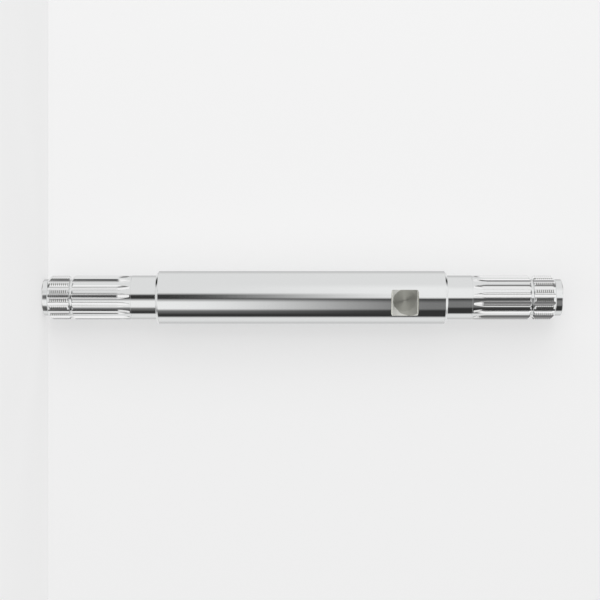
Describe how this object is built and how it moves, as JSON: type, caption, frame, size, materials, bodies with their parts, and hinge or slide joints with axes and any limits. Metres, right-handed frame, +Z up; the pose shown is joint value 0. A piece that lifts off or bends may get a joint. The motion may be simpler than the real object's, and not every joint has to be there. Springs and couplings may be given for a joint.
{
  "type": "splined shaft",
  "caption": "Turned metal drive shaft with an involute spline and thread land on each end and a pair of spanner flats on its thicker body.",
  "frame": {"origin": "middle of the flat end face that the shaft stands on, on its axis", "axes": "+Z up along the shaft's axis, towards the end beside the spanner flats; the flats face -Y and +Y"},
  "size_m": [0.0264, 0.0264, 0.2584],
  "materials": {
    "turned_steel": "fine turned, bright"
  },
  "bodies": {
    "root": {"splined_shaft": "turned_steel"}
  },
  "joints": []
}
